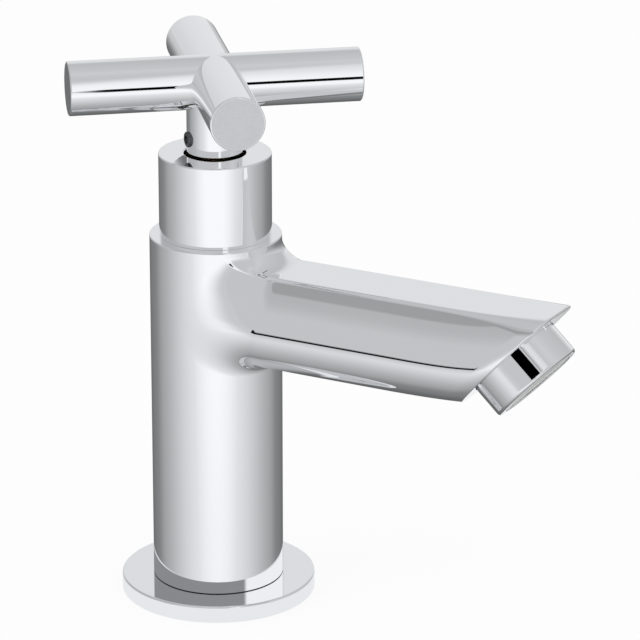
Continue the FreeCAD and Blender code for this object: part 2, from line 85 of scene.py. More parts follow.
# ---- The spout's section at the column, and what each size loses or gains as it softens to the tip ----
half_top, half_top_loss = 7.2, 3.3
ridge_r, ridge_r_gain = 2.0, 8.5
flank_r, flank_degrees, flank_degrees_loss = 33.0, 35.0, 20.0
belly_tilt = math.radians(12)
top_rise = 0.9
soft_from, soft_run = 60.0, 40.0
belly_rise, belly_from, belly_run = 3.2, 52.0, 48.0

# ---- Root blend and lip ----
reach_above, reach_flank, reach_below = 5.4, 10.5, 2.0
root_pull = 0.62
lip_least, lip_gain = 0.35, 0.15


# ---- Surfaces ----
def unit(vectors):
    """Vectors scaled to length one."""
    return vectors / np.linalg.norm(vectors, axis=-1, keepdims=True)


def smooth(share):
    """Smoothstep: 0 below 0, 1 above 1, and 3 s squared less 2 s cubed between."""
    s = np.clip(share, 0, 1)
    return s * s * (3 - 2 * s)


def stacked(*parts):
    """Coordinates broadcast together and stacked as points."""
    return np.stack(np.broadcast_arrays(*parts), axis=-1)


def swung(start, end, share):
    """Directions on the great circle from start to end: sine weights of the angle between them."""
    angle = np.arccos(np.clip(np.sum(start * end, axis=-1, keepdims=True), -1, 1))
    return (np.sin((1 - share) * angle) * start + np.sin(share * angle) * end) / np.sin(angle)


def sheet(shape, rows, columns, out=1):
    """Grid of shape(row, column), with the cross product of its two slopes as normals."""
    r, c = np.meshgrid(rows, columns, indexing="ij")
    step = 1e-4
    along_r = shape(r + step, c) - shape(r - step, c)
    along_c = shape(r, c + step) - shape(r, c - step)
    return shape(r, c), out * unit(np.cross(along_c, along_r))


def ruled(start, end, normals, steps=1):
    """Grid of straight lines from one row of points to another, under one normal for each column."""
    share = np.linspace(0, 1, steps + 1)[:, None, None]
    points = start + (end - start) * share
    return points, np.broadcast_to(normals, points.shape)


def rounded(corners, closed=True, steps=6):
    """Profile through (radius, height, edge radius) corners, with the material on its left.

    Straight runs are joined by arcs about the point at edge radius from both runs.
    Gives each run and arc as its points and their outward normals.
    """
    corner = np.array(corners, float)
    place, edge = corner[:, :2], corner[:, 2]
    count = len(place)
    enters, leaves, arcs = place.copy(), place.copy(), {}
    for i in range(count):
        if edge[i] == 0:
            continue
        back = unit(place[i - 1] - place[i])
        ahead = unit(place[(i + 1) % count] - place[i])
        half = math.acos(float(back @ ahead)) / 2
        centre = place[i] + unit(back + ahead) * edge[i] / math.sin(half)
        enters[i] = place[i] + back * edge[i] / math.tan(half)
        leaves[i] = place[i] + ahead * edge[i] / math.tan(half)
        share = np.linspace(0, 1, steps + 1)[:, None]
        radial = swung((enters[i] - centre) / edge[i], (leaves[i] - centre) / edge[i], share)
        left_turn = np.sign(back[1] * ahead[0] - back[0] * ahead[1])
        arcs[i] = (centre + edge[i] * radial, left_turn * radial)
    profile = []
    for i in range(count if closed else count - 1):
        after = (i + 1) % count
        run = enters[after] - leaves[i]
        if np.hypot(*run) > 1e-6:
            normal = unit(np.array((run[1], -run[0])))
            profile.append((np.array((leaves[i], enters[after])), np.array((normal, normal))))
        if after in arcs:
            profile.append(arcs[after])
    return profile


def upright(vectors, is_normal):
    """Leave vectors on the tap's own axis."""
    return vectors


def on_nozzle(vectors, is_normal):
    """Carry vectors from the upright axis to the nozzle's, with height as distance out of the mouth."""
    turned_to = vectors[..., :1] * inplane + vectors[..., 1:2] * sideways + vectors[..., 2:] * outward
    return turned_to if is_normal else turned_to + mouth


def on_grub(vectors, is_normal):
    """Carry vectors from the upright axis to the grub screw's, with height as distance outwards."""
    away = np.array((math.cos(grub_azimuth), math.sin(grub_azimuth), 0.0))
    across = np.array((-away[1], away[0], 0.0))
    turned_to = vectors[..., :1] * across + vectors[..., 1:2] * UP + vectors[..., 2:] * away
    return turned_to if is_normal else turned_to + UP * grub_z


def turned(profile, angles=AROUND, place=upright):
    """Each run of a profile carried round an axis: (radius cos, radius sin, height)."""
    sheets = []
    for points, normals in profile:
        spun = [
            stacked(v[:, :1] * np.cos(angles), v[:, :1] * np.sin(angles), v[:, 1:] + 0 * angles)
            for v in (points, normals)
        ]
        sheets.append((place(spun[0], False), place(spun[1], True)))
    return sheets


def piece(name, coats, body, slot, *nodes):
    """One mesh from sheets grouped by finish, riding on a body in place of its CAD nodes.

    Points nearer than a micron are welded, corners that a pole closes up are dropped,
    each face follows its sheet's normals, and those normals are kept at its corners.
    """
    corner_points, corner_normals, corner_finish = [], [], []
    for number, sheets in enumerate(coats.values()):
        for points, normals in sheets:
            quads = []
            for grid in (points, normals):
                quads.append(np.stack((grid[:-1, :-1], grid[:-1, 1:], grid[1:, 1:], grid[1:, :-1]), axis=2))
            ends, facing = (quad.reshape(-1, 4, 3) for quad in quads)
            flat = np.cross(ends[:, 2] - ends[:, 0], ends[:, 3] - ends[:, 1])
            if np.sum(flat * facing.sum(axis=1)) < 0:
                ends, facing = ends[:, ::-1], facing[:, ::-1]
            corner_points.append(ends)
            corner_normals.append(facing)
            corner_finish.append(np.full(len(ends), number))
    ends, facing = np.concatenate(corner_points), np.concatenate(corner_normals)
    finish_number = np.concatenate(corner_finish)
    keys = np.round(ends.reshape(-1, 3) * 1000).astype(np.int64)
    _, first, welded = np.unique(keys, axis=0, return_index=True, return_inverse=True)
    places = ends.reshape(-1, 3)[first] / 1000
    corners = welded.reshape(-1, 4)
    kept = corners != np.roll(corners, -1, axis=1)
    whole = kept.sum(axis=1) >= 3
    kept &= whole[:, None]
    sizes = kept.sum(axis=1)[whole]
    mesh = bpy.data.meshes.new(name)
    mesh.vertices.add(len(places))
    mesh.vertices.foreach_set("co", places.ravel())
    mesh.loops.add(int(sizes.sum()))
    mesh.loops.foreach_set("vertex_index", corners[kept])
    mesh.polygons.add(len(sizes))
    mesh.polygons.foreach_set("loop_start", np.concatenate(([0], np.cumsum(sizes)[:-1])))
    for finish in coats:
        mesh.materials.append(finish)
    mesh.polygons.foreach_set("material_index", finish_number[whole])
    mesh.polygons.foreach_set("use_smooth", np.ones(len(sizes), bool))
    mesh.update(calc_edges=True)
    mesh.validate()
    mesh.normals_split_custom_set(facing[kept])
    made = bpy.data.objects.new(name, mesh)
    bpy.context.scene.collection.objects.link(made)
    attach(made, body)
    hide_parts(*nodes)
    return made


# ---- Shader nodes ----
class Value:
    """A shader number: Python arithmetic on it adds the Math nodes."""

    def __init__(self, tree, socket):
        self.tree = tree
        self.socket = socket

    def maths(self, operation, *numbers):
        node = self.tree.nodes.new("ShaderNodeMath")
        node.operation = operation
        for entry, number in zip(node.inputs, numbers):
            if isinstance(number, Value):
                self.tree.links.new(number.socket, entry)
            else:
                entry.default_value = number
        return Value(self.tree, node.outputs[0])

    def __add__(self, other):
        return self.maths("ADD", self, other)

    def __radd__(self, other):
        return self.maths("ADD", other, self)

    def __sub__(self, other):
        return self.maths("SUBTRACT", self, other)

    def __rsub__(self, other):
        return self.maths("SUBTRACT", other, self)

    def __mul__(self, other):
        return self.maths("MULTIPLY", self, other)

    def __rmul__(self, other):
        return self.maths("MULTIPLY", other, self)

    def __truediv__(self, other):
        return self.maths("DIVIDE", self, other)

    def __pow__(self, other):
        return self.maths("POWER", self, other)

    def __abs__(self):
        return self.maths("ABSOLUTE", self)

    def sine(self):
        return self.maths("SINE", self)

    def most(self, other):
        return self.maths("MAXIMUM", self, other)

    def above(self, limit):
        """1 where the number is over a limit, else 0."""
        return self.maths("GREATER_THAN", self, limit)


class Tree:
    """Adds nodes to the tree of one material or world."""

    def __init__(self, owner):
        owner.use_nodes = True
        self.tree = owner.node_tree
        self.tree.nodes.clear()

    def add(self, kind, settings=None, values=None):
        """A node of one kind: its settings first, then the values or links of its sockets."""
        node = self.tree.nodes.new(kind)
        for key, setting in (settings or {}).items():
            if key == "stops":
                elements = node.color_ramp.elements
                while len(elements) < len(setting):
                    elements.new(0.5)
                for element, (place, shade) in zip(elements, setting):
                    element.position = place
                    element.color = (shade, shade, shade, 1)
            else:
                setattr(node, key, setting)
        for key, value in (values or {}).items():
            if isinstance(value, Value):
                value = value.socket
            if isinstance(value, bpy.types.NodeSocket):
                self.tree.links.new(value, node.inputs[key])
            else:
                node.inputs[key].default_value = value
        return node

    def value(self, node, output):
        return Value(self.tree, node.outputs[output])

    def spot(self):
        """Place on the object, as its three numbers in metres."""
        coordinates = self.add("ShaderNodeTexCoord")
        apart = self.add("ShaderNodeSeparateXYZ", values={0: coordinates.outputs["Object"]})
        return [self.value(apart, axis) for axis in "XYZ"]

    def noise(self, scale, detail=3.0):
        """Soft random pattern, so many cells to the metre."""
        spot = self.add("ShaderNodeTexCoord").outputs["Object"]
        made = self.add(
            "ShaderNodeTexNoise", values={"Vector": spot, "Scale": scale, "Detail": detail, "Roughness": 0.55}
        )
        return self.value(made, 0)

    def eased(self, value, low, high, start=0.0, end=1.0):
        """Smoothstep of a value as it goes from one limit to another."""
        made = self.add("ShaderNodeMapRange", {"interpolation_type": "SMOOTHSTEP"}, {
            "Value": value, "From Min": low, "From Max": high, "To Min": start, "To Max": end})
        return self.value(made, 0)

    def ramp(self, share, *stops):
        """Number read off straight runs between (place, number) stops."""
        return self.value(self.add("ShaderNodeValToRGB", {"stops": stops}, {0: share}), 0)

    def between(self, share, low, high):
        """Colour part of the way from one to another."""
        made = self.add("ShaderNodeMix", {"data_type": "RGBA"}, {0: share, 6: (*low, 1), 7: (*high, 1)})
        return made.outputs[2]

    def raised(self, height, depth):
        """Normal of a surface whose height is a number from 0 to 1 times a depth in metres."""
        made = self.add("ShaderNodeBump", values={"Strength": 1.0, "Distance": depth, "Height": height})
        return made.outputs[0]

    def finish(self, settings):
        """The surface shader of a material."""
        surface = self.add("ShaderNodeBsdfPrincipled", values=settings)
        self.add("ShaderNodeOutputMaterial", values={"Surface": surface.outputs[0]})


def new_finish(name):
    """An empty material and its tree."""
    made = bpy.data.materials.new(name)
    return made, Tree(made)


def polished_chrome():
    """Mirror plate with a trace of polishing haze and cast waviness."""
    made, tree = new_finish("polished_chrome")
    haze = tree.noise(45.0)
    ripple = tree.noise(160.0, detail=1.0)
    tree.finish({
        "Base Color": tree.between(haze, (0.945, 0.95, 0.965), (0.975, 0.98, 0.99)),
        "Metallic": 1.0,
        "Roughness": 0.012 + 0.02 * haze,
        "Normal": tree.raised(ripple, 2.0e-6),
    })
    return made


def turned_metal(name, low, high, roughness, pitch):
    """Machined metal: fine rings round the axis, dulled here and there by handling."""
    made, tree = new_finish(name)
    x, y, z = tree.spot()
    radius = (x * x + y * y) ** 0.5
    ring = ((z + radius) * (TURN / pitch)).sine()
    stain = tree.noise(90.0)
    tree.finish({
        "Base Color": tree.between(stain, low, high),
        "Metallic": 1.0,
        "Roughness": roughness + 0.16 * stain,
        "Normal": tree.raised(ring * 0.5 + tree.noise(2500.0) * 0.5, 3.0e-6),
    })
    return made


def moulded(name, low, high, roughness, grain, depth, metallic=0.0):
    """Moulded or pressed stuff: an even grain, and slow changes of colour and gloss."""
    made, tree = new_finish(name)
    cloud = tree.noise(120.0)
    fine = tree.noise(grain, detail=4.0)
    tree.finish({
        "Base Color": tree.between(cloud * 0.6 + fine * 0.4, low, high),
        "Metallic": metallic,
        "Roughness": roughness - 0.08 + 0.16 * fine,
        "Normal": tree.raised(fine, depth),
    })
    return made


# ---- The casting ----
def spout_point(c, x):
    """Point of the spout's skin: c goes round the section, 0 to 5 down one side and on up the other.

    Each side is half a flat top, a ridge arc, a flank arc, a belly arc and half a flat belly.
    Towards the tip the ridge softens and the belly rises, as powers of the distance gone.
    Close to the mouth the cheeks draw in on an arc, by its radius less the root of
    the radius squared less the distance along it squared.
    """
    side = np.where(c <= 5, 1.0, -1.0)
    q = np.where(c <= 5, c, 10 - c)
    softness = np.maximum(0, (x - soft_from) / soft_run) ** 3
    flat_half = half_top - half_top_loss * softness
    corner_r = ridge_r + ridge_r_gain * softness
    upper = np.radians(flank_degrees - flank_degrees_loss * softness)
    lower = belly_tilt
    level = spout_top_at_axis + x * spout_rise
    top = level + top_rise * softness
    bottom = level - spout_height + belly_rise * np.maximum(0, (x - belly_from) / belly_run) ** 2
    flank_y = flat_half + (corner_r - flank_r) * np.cos(upper)
    flank_z = top - corner_r + (corner_r - flank_r) * np.sin(upper)
    belly_r = (flank_z + flank_r * math.sin(lower) - bottom) / (1 + math.sin(lower))
    belly_y = flank_y + (flank_r - belly_r) * math.cos(lower)
    belly_z = flank_z + (flank_r - belly_r) * math.sin(lower)
    angle = np.select(
        [q < 2, q < 3],
        [math.pi / 2 + (q - 1) * (upper - math.pi / 2), upper + (q - 2) * (lower - upper)],
        lower - (q - 3) * (lower + math.pi / 2),
    )
    across, up = np.cos(angle), np.sin(angle)
    parts = [q < 1, q < 2, q < 3, q < 4]
    y = np.select(parts, [
        q * flat_half, flat_half + corner_r * across, flank_y + flank_r * across, belly_y + belly_r * across,
    ], (5 - q) * belly_y)
    z = np.select(parts, [
        top, top - corner_r + corner_r * up, flank_z + flank_r * up, belly_z + belly_r * up,
    ], bottom)
    cheek = smooth((q - 1.3) / 0.9) * smooth((3.9 - q) / 0.8)
    from_mouth = (mouth[0] - x) * outward[0] + (mouth[2] - z) * outward[2]
    along = np.clip(cheek_length - from_mouth, 0, 0.9 * cheek_r)
    drawn_in = cheek * (cheek_r - np.sqrt(cheek_r ** 2 - along ** 2))
    return stacked(x, side * (y - drawn_in * across), z - drawn_in * up)


def spout_normal(c, x):
    """Outward normal of the spout's skin, from the slopes of its point."""
    step = 1e-4
    along = spout_point(c, x + step) - spout_point(c, x - step)
    round_it = spout_point(c + step, x) - spout_point(c - step, x)
    return unit(np.cross(along, round_it))


def corner_on_column(c):
    """Where the spout's skin would meet the column, as arc length round it and height."""
    at_axis = spout_point(c, np.zeros_like(c))
    y = at_axis[..., 1]
    x = np.sqrt(column_r ** 2 - y * y)
    return stacked(column_r * np.arcsin(y / column_r), at_axis[..., 2] + x * spout_rise)


def root_ends(c):
    """Where the root blend starts on the unrolled column, and how far out it ends on the spout.

    Both lie the same reach from the corner, which eases from the top's to the flank's to the belly's.
    """
    q = np.where(c <= 5, c, 10 - c)
    onto_flank, off_flank = smooth((q - 1.2) / 1.4), smooth((q - 2.9) / 1.1)
    reach = reach_above + (reach_flank - reach_above) * onto_flank - (reach_flank - reach_below) * off_flank
    corner = corner_on_column(c)
    step = 1e-4
    along = unit(corner_on_column(c + step) - corner_on_column(c - step))
    away = stacked(-along[..., 1], along[..., 0])
    start = corner + reach[..., None] * away
    leave = column_r * np.cos(corner[..., 0] / column_r) + reach
    return start, leave, corner, reach


def root_point(c, share):
    """Point of the root blend, on a cubic Bezier curve.

    Its handles run a set share of the reach over the column's skin and the spout's, towards their corner.
    """
    start, leave, corner, reach = root_ends(c)
    angle = start[..., 0] / column_r
    begin = stacked(column_r * np.cos(angle), column_r * np.sin(angle), start[..., 1])
    run = (corner - start) * root_pull
    begin_handle = begin + stacked(-np.sin(angle) * run[..., 0], np.cos(angle) * run[..., 0], run[..., 1])
    end = spout_point(c, leave)
    back = root_pull * reach
    end_handle = end - stacked(back, 0 * back, spout_rise * back)
    t = share[..., None]
    return ((1 - t) ** 3 * begin + 3 * t * (1 - t) ** 2 * begin_handle + 3 * t ** 2 * (1 - t) * end_handle
            + t ** 3 * end)


def contour():
    """Samples round the spout, where the root's upper and lower halves share their angles on the column."""
    counts = (6, 14, 22, 40, 3)
    own = np.concatenate([np.linspace(part, part + 1, count + 1)[:-1] for part, count in enumerate(counts)])
    fine = np.linspace(0, 5, 20001)
    angle = root_ends(fine)[0][:, 0] / column_r
    widest = int(np.argmax(angle))
    upper = own[own < fine[widest]]
    lower = own[own > fine[widest]]
    on_lower = np.interp(-np.interp(upper, fine, angle), -angle[widest:], fine[widest:])
    on_upper = np.interp(np.interp(lower, fine, angle), angle[:widest + 1], fine[:widest + 1])
    half = np.sort(np.concatenate((upper, lower, on_lower, on_upper, [fine[widest]])))
    half = half[np.concatenate(([True], np.diff(half) > 1e-5))]
    half[-1] = 5.0
    return np.concatenate((half, 10 - half[-2::-1]))


def crossing(beyond, count):
    """Distance out along the spout at which a test turns true, by halving an interval 50 times."""
    low, high = np.full(count, 40.0), np.full(count, 112.0)
    for _ in range(50):
        middle = (low + high) / 2
        past = beyond(middle)
        low, high = np.where(past, low, middle), np.where(past, middle, high)
    return low


def tap_casting(chrome, foot_gap_shade):
    """Column and spout in one skin: walls, root blend, spout, softened lip, mouth and bores."""
    c = contour()
    start, leave, _, _ = root_ends(c)
    root = sheet(lambda share, round_it: root_point(round_it, share), np.linspace(0, 1, 33), c, out=-1)

    cut = crossing(lambda x: (spout_point(c, x) - mouth) @ outward > 0, len(c))
    breadth = np.minimum(1, np.abs(spout_point(c, cut)[:, 1]) / pocket_r)
    lip_r = (lip_least + lip_gain * breadth ** 2)[:, None]

    def lip_centre(x):
        return spout_point(c, x) - lip_r * spout_normal(c, x)

    end = crossing(lambda x: (lip_centre(x) - mouth) @ outward + lip_r[:, 0] > 0, len(c))
    centre = lip_centre(end)
    lip_normal = spout_normal(c, end)
    out = swung(lip_normal, outward + 0 * lip_normal, np.linspace(0, 1, 13)[:, None, None])
    lip = (centre + lip_r * out, out)

    rows = np.concatenate((np.linspace(0, 0.92, 56), np.linspace(0.92, 1, 31)[1:]))[:, None]
    x = leave + (end - leave) * rows
    round_it = np.broadcast_to(c, x.shape)
    skin = (spout_point(round_it, x), spout_normal(round_it, x))

    rim = centre + lip_r * outward - mouth
    around = np.unwrap(np.arctan2(rim @ sideways, rim @ inplane))
    pocket = mouth + pocket_r * (np.cos(around)[:, None] * inplane + np.sin(around)[:, None] * sideways)
    face = ruled(rim + mouth, pocket, outward)
    recess = rounded([
        (pocket_r, 0, 0), (pocket_r, -pocket_depth, 0), (stub_r, -pocket_depth, 0),
        (stub_r, stub_length, 0.15), (stub_bore_r, stub_length, 0.15),
        (stub_bore_r, -stub_bore_depth, 0), (0, -stub_bore_depth, 0),
    ], closed=False)

    angle = start[:, 0] / column_r
    first = int(np.argmax(angle))
    last = len(c) - 1 - first
    back = np.linspace(angle[first], TURN - angle[first], 121)[1:]
    above = np.concatenate((np.arange(last, len(c) - 1), np.arange(0, first + 1)))
    below = np.arange(last, first - 1, -1)
    edge_z = start[first, 1]
    walls = []
    for chosen, end_z in ((above, column_top - top_edge), (below, flange_thick + foot_bevel)):
        angles = np.concatenate((angle[chosen], back))
        heights = np.concatenate((start[chosen, 1], np.full_like(back, edge_z)))
        radial = stacked(np.cos(angles), np.sin(angles), 0 * angles)
        edge = column_r * radial
        walls.append(ruled(edge + heights[:, None] * UP, edge + end_z * UP, radial, steps=4))
    inside = rounded([
        (column_r, column_top - 2, 0), (column_r, column_top, top_edge), (seat_r, column_top, 0.1),
        (seat_r, seat_z, 0), (thread_r, seat_z, 0), (thread_r, thread_low, 0), (chamber_r, thread_low, 0),
        (chamber_r, chamber_floor, 0), (port_r, chamber_floor, 0), (port_r, port_low, 0),
        (waterway_r, port_low, 0), (waterway_r, socket_top, 0), (thread_r, socket_top, 0),
        (thread_r, flange_thick, 0), (column_r - foot_bevel, flange_thick, 0),
    ], closed=False)[1:]
    # The foot's bevel takes the dark finish: painted shade in the gap between column and flange.
    bevel = rounded([
        (column_r - foot_bevel, flange_thick, 0), (column_r, flange_thick + foot_bevel, 0),
    ], closed=False)
    sheets = walls + [root, skin, lip, face] + turned(recess, around, on_nozzle) + turned(inside, angles)
    return piece("cast_body", {chrome: sheets, foot_gap_shade: turned(bevel, angles)}, "tap", "chrome", "tap_body")


# ---- Turned pieces ----
def ring_piece(name, corners, finish, body, slot, node, place=upright):
    """A closed profile turned into one piece."""
    return piece(name, {finish: turned(rounded(corners), AROUND, place)}, body, slot, node)


def threaded_tail(brass):
    """Supply tail: a rounded vee thread whose crest climbs one pitch in each turn.

    The radius is the crest's less the depth times a raised cosine of height over pitch minus angle.
    """
    pitch, depth = 1.814, 1.1
    relief_low, relief_top, relief_depth, relief_slope = -28.0, -26.5, 0.2, 0.3
    fade = 1.2
    thread_end = shank_end + 0.8
    core = shank_r - depth
    angles = np.linspace(0, TURN, 97)

    def thread(low, high):
        def shape(z, angle):
            wave = 0.5 - 0.5 * np.cos(TURN * z / pitch - angle)
            start = np.clip((z - low) / fade, 0, 1)
            stop = np.clip((high - z) / fade, 0, 1)
            r = shank_r - depth * (1 - (1 - wave) * start * stop)
            return stacked(r * np.cos(angle), r * np.sin(angle), z)

        rows = np.linspace(low, high, int((high - low) / pitch * 12) + 1)
        return sheet(shape, rows, angles)

    floor_r = core - relief_depth
    sheets = [thread(thread_end, relief_low), thread(relief_top, 0.0)]
    for profile in (
        [(shank_bore_r, shank_end, 0.1), (core - 0.6, shank_end, 0.1), (core, thread_end, 0)],
        [(core, relief_low, 0), (floor_r, relief_low + relief_slope, 0),
         (floor_r, relief_top - relief_slope, 0), (core, relief_top, 0)],
        [(core, 0, 0), (shank_r, 0.6, 0), (shank_r, shank_top, 0.2), (shank_bore_r, shank_top, 0.2),
         (shank_bore_r, shank_end + 1, 0)],
        [(shank_bore_r, shank_end + 1, 0), (shank_bore_r, shank_end, 0)],
    ):
        sheets += turned(rounded(profile, closed=False), angles)
    return piece("threaded_tail", {brass: sheets}, "tap", "turned_brass", "inlet_shank")


def hexagon_radius(angle, flats):
    """Distance from the axis to a hexagon's flat at an angle."""
    return flats / 2 / np.cos((angle + math.pi / 6) % (math.pi / 3) - math.pi / 6)


def lock_nut(brass):
    """Collared hexagonal nut: six flats whose ends follow the 30 degree cone that bevels its corners."""
    flats, low, high = 27.0, -24.5, backing_low
    collar_r, collar_low = 16.0, high - 1.5
    bevel_r, sixth = flats / 2, math.pi / 3
    cone_tilt = math.radians(30)
    rest = rounded([
        (collar_r, collar_low, 0), (collar_r, high, 0.3), (thread_r, high, 0.3), (thread_r, low, 0.4),
        (bevel_r, low, 0),
    ], closed=False)
    sheets = []
    for k in range(6):
        middle = k * sixth
        angles = np.linspace(middle - sixth / 2, middle + sixth / 2, 17)
        r = hexagon_radius(angles, flats)
        radial = stacked(np.cos(angles), np.sin(angles), 0 * angles)
        normal = np.array((math.cos(middle), math.sin(middle), 0.0))
        out_to = r[:, None] * radial
        cone_end = out_to + (low + (r - bevel_r) * math.tan(cone_tilt))[:, None] * UP
        wall_end = out_to + collar_low * UP
        wall = ruled(cone_end, wall_end, normal)
        cone_normal = unit(radial * math.sin(cone_tilt) - UP * math.cos(cone_tilt))
        cone = ruled(bevel_r * radial + low * UP, cone_end, cone_normal)
        ledge = ruled(wall_end, collar_r * radial + collar_low * UP, -UP)
        sheets += [wall, cone, ledge] + turned(rest, angles)
    return piece("lock_nut", {brass: sheets}, "tap", "turned_brass", "backnut")


# ---- Handle ----
def cross_bars(chrome, satin):
    """Two bars crossing flush on a neck.

    Each arm is (s, h, v) = (distance out, radius times sine, radius times cosine). It starts
    at the mitre, where s is the size of h, or below on the neck's wall, where s and h make the neck's radius.
    The neck's wall ends where an arm's radius comes down to it.
    """
    quarter = math.pi / 2
    round_neck = np.linspace(-quarter / 2, quarter / 2, 25)
    on_neck = np.arcsin(neck_r * np.sin(round_neck) / bar_r)
    beside_neck = np.linspace(math.pi - on_neck[-1], quarter, 13)[1:-1]
    under = np.concatenate((math.pi - on_neck[12:], beside_neck))
    phi = np.concatenate((under, np.linspace(quarter, -quarter, 61), -under[::-1]))
    h = bar_r * np.sin(phi)
    below = np.cos(phi) < -1e-9
    s = np.where(below, np.maximum(np.abs(h), np.sqrt(neck_r ** 2 - h * h)), np.abs(h))
    axis = bar_axis_z * UP
    bars, ends = [], []
    for k in range(4):
        azimuth = bar_azimuth + k * quarter
        away = np.array((math.cos(azimuth), math.sin(azimuth), 0.0))
        across = np.array((-away[1], away[0], 0.0))
        radial = np.sin(phi)[:, None] * across + np.cos(phi)[:, None] * UP
        begin = axis + s[:, None] * away
        edge_at = axis + (bar_half - bar_edge) * away
        bars.append(ruled(begin + bar_r * radial, edge_at + bar_r * radial, radial, steps=6))
        out = swung(radial, away + 0 * radial, np.linspace(0, 1, 9)[:, None, None])
        bars.append((edge_at + (bar_r - bar_edge) * radial + bar_edge * out, out))
        end = axis + bar_half * away
        ends.append(ruled(end + (bar_r - bar_edge) * radial, end + 0 * radial, away, steps=5))
    past_arm = np.concatenate([round_neck[:-1] + k * quarter for k in range(4)] + [[round_neck[0] + TURN]])
    offset = neck_r * np.minimum(np.abs(np.cos(past_arm)), np.abs(np.sin(past_arm)))
    top = bar_axis_z - np.sqrt(bar_r ** 2 - offset ** 2)
    theta = bar_azimuth + past_arm
    radial = stacked(np.cos(theta), np.sin(theta), 0 * theta)
    neck = neck_r * radial
    wall = ruled(neck + (neck_start + neck_edge) * UP, neck + top[:, None] * UP, radial, steps=6)
    foot = rounded([
        (0, neck_socket_top, 0), (neck_socket_r, neck_socket_top, 0), (neck_socket_r, neck_start, 0.15),
        (neck_r, neck_start, neck_edge), (neck_r, neck_start + 2, 0),
    ], closed=False)[:-1]
    bars += [wall] + turned(foot, theta)
    return piece("cross_bars", {chrome: bars, satin: ends}, "handle", "chrome", "cross_handle")


def grub_screw(steel):
    """Set screw with a hexagonal socket: its end face runs from a bevelled rim to the hexagon's flats."""
    end, face_r, depth, flats = neck_r + 0.6, 1.5, 1.4, 2.0
    angles = np.linspace(0, TURN, 73)
    body = rounded([
        (0, neck_socket_r, 0), (grub_r, neck_socket_r, 0), (grub_r, end, 0.35), (face_r, end, 0),
    ], closed=False)
    radial = stacked(np.cos(angles), np.sin(angles), 0 * angles)
    corner = hexagon_radius(angles, flats)[:, None] * radial
    mouth_edge, floor_edge = corner + end * UP, corner + (end - depth) * UP
    socket = [ruled(face_r * radial + end * UP, mouth_edge, UP)]
    for k in range(6):
        chosen = slice(12 * k, 12 * k + 13)
        socket.append(ruled(mouth_edge[chosen], floor_edge[chosen], -radial[12 * k + 6]))
    socket.append(ruled(floor_edge, 0 * corner + (end - depth - 0.3) * UP, UP))
    sheets = turned(body, angles, on_grub)
    sheets += [(on_grub(points, False), on_grub(normals, True)) for points, normals in socket]
    return piece("grub_screw", {steel: sheets}, "handle", "dark_steel", "handle_grub_screw")


# ---- Studio ----
def camera():
    """The photograph's viewpoint."""
    data = bpy.data.cameras.new("camera")
    data.lens, data.sensor_width = 238.95, 36.0
    data.clip_start, data.clip_end = 0.05, 50.0
    made = bpy.data.objects.new("camera", data)
    right, up, forward = (0.874, 0.486, 0.0), (-0.1656, 0.2978, 0.940), (-0.4569, 0.8217, -0.3407)
    place = (0.5183, -0.8777, 0.4427)
    made.matrix_world = Matrix([[right[i], up[i], -forward[i], place[i]] for i in range(3)] + [[0, 0, 0, 1]])
    bpy.context.scene.collection.objects.link(made)
    bpy.context.scene.camera = made


def studio_floor():
    """White sheet at deck level. The eye sees it bright with a soft shadow.

    Metal sees the studio through it, and metal close to the deck a glowing white disc round the flange: a
    painted reflection.
    """
    size, level = 6.0, -0.0001
    disc_from, disc_to = 0.0342, 0.0352
    near, far = 0.03, 0.04
    mesh = bpy.data.meshes.new("studio_floor")
    mesh.from_pydata(
        [(across * size, along * size, level) for across, along in ((-1, -1), (1, -1), (1, 1), (-1, 1))],
        [], [(0, 1, 2, 3)],
    )
    made = bpy.data.objects.new("studio_floor", mesh)
    bpy.context.scene.collection.objects.link(made)
    material, tree = new_finish("studio_floor")
    path = tree.add("ShaderNodeLightPath")
    paper = tree.add("ShaderNodeBsdfDiffuse", values={"Color": (0.92, 0.92, 0.92, 1)})
    bright = tree.add("ShaderNodeEmission", values={"Color": (1, 1, 1, 1), "Strength": 1.0})
    clear = tree.add("ShaderNodeBsdfTransparent")
    seen = tree.value(path, "Is Camera Ray")
    pale = tree.add("ShaderNodeMixShader", values={0: seen * 0.9, 1: paper.outputs[0], 2: bright.outputs[0]})
    x, y, _ = tree.spot()
    radius = (x * x + y * y) ** 0.5
    # The disc glows only for metal close above it: a painted reflection round the flange.
    white = tree.eased(radius, disc_from, disc_to, 1.0, 0.0)
    white = white * tree.eased(tree.value(path, "Ray Length"), near, far, 1.0, 0.0)
    reflected_disc_glow = tree.add("ShaderNodeEmission", values={"Color": (0.82, 0.83, 0.85, 1), "Strength": 1.0})
    studio = tree.add("ShaderNodeMixShader", values={0: white, 1: clear.outputs[0], 2: reflected_disc_glow.outputs[0]})
    mirrored = tree.value(path, "Is Glossy Ray")
    both = tree.add("ShaderNodeMixShader", values={0: mirrored, 1: pale.outputs[0], 2: studio.outputs[0]})
    tree.add("ShaderNodeOutputMaterial", values={"Surface": both.outputs[0]})
    mesh.materials.append(material)


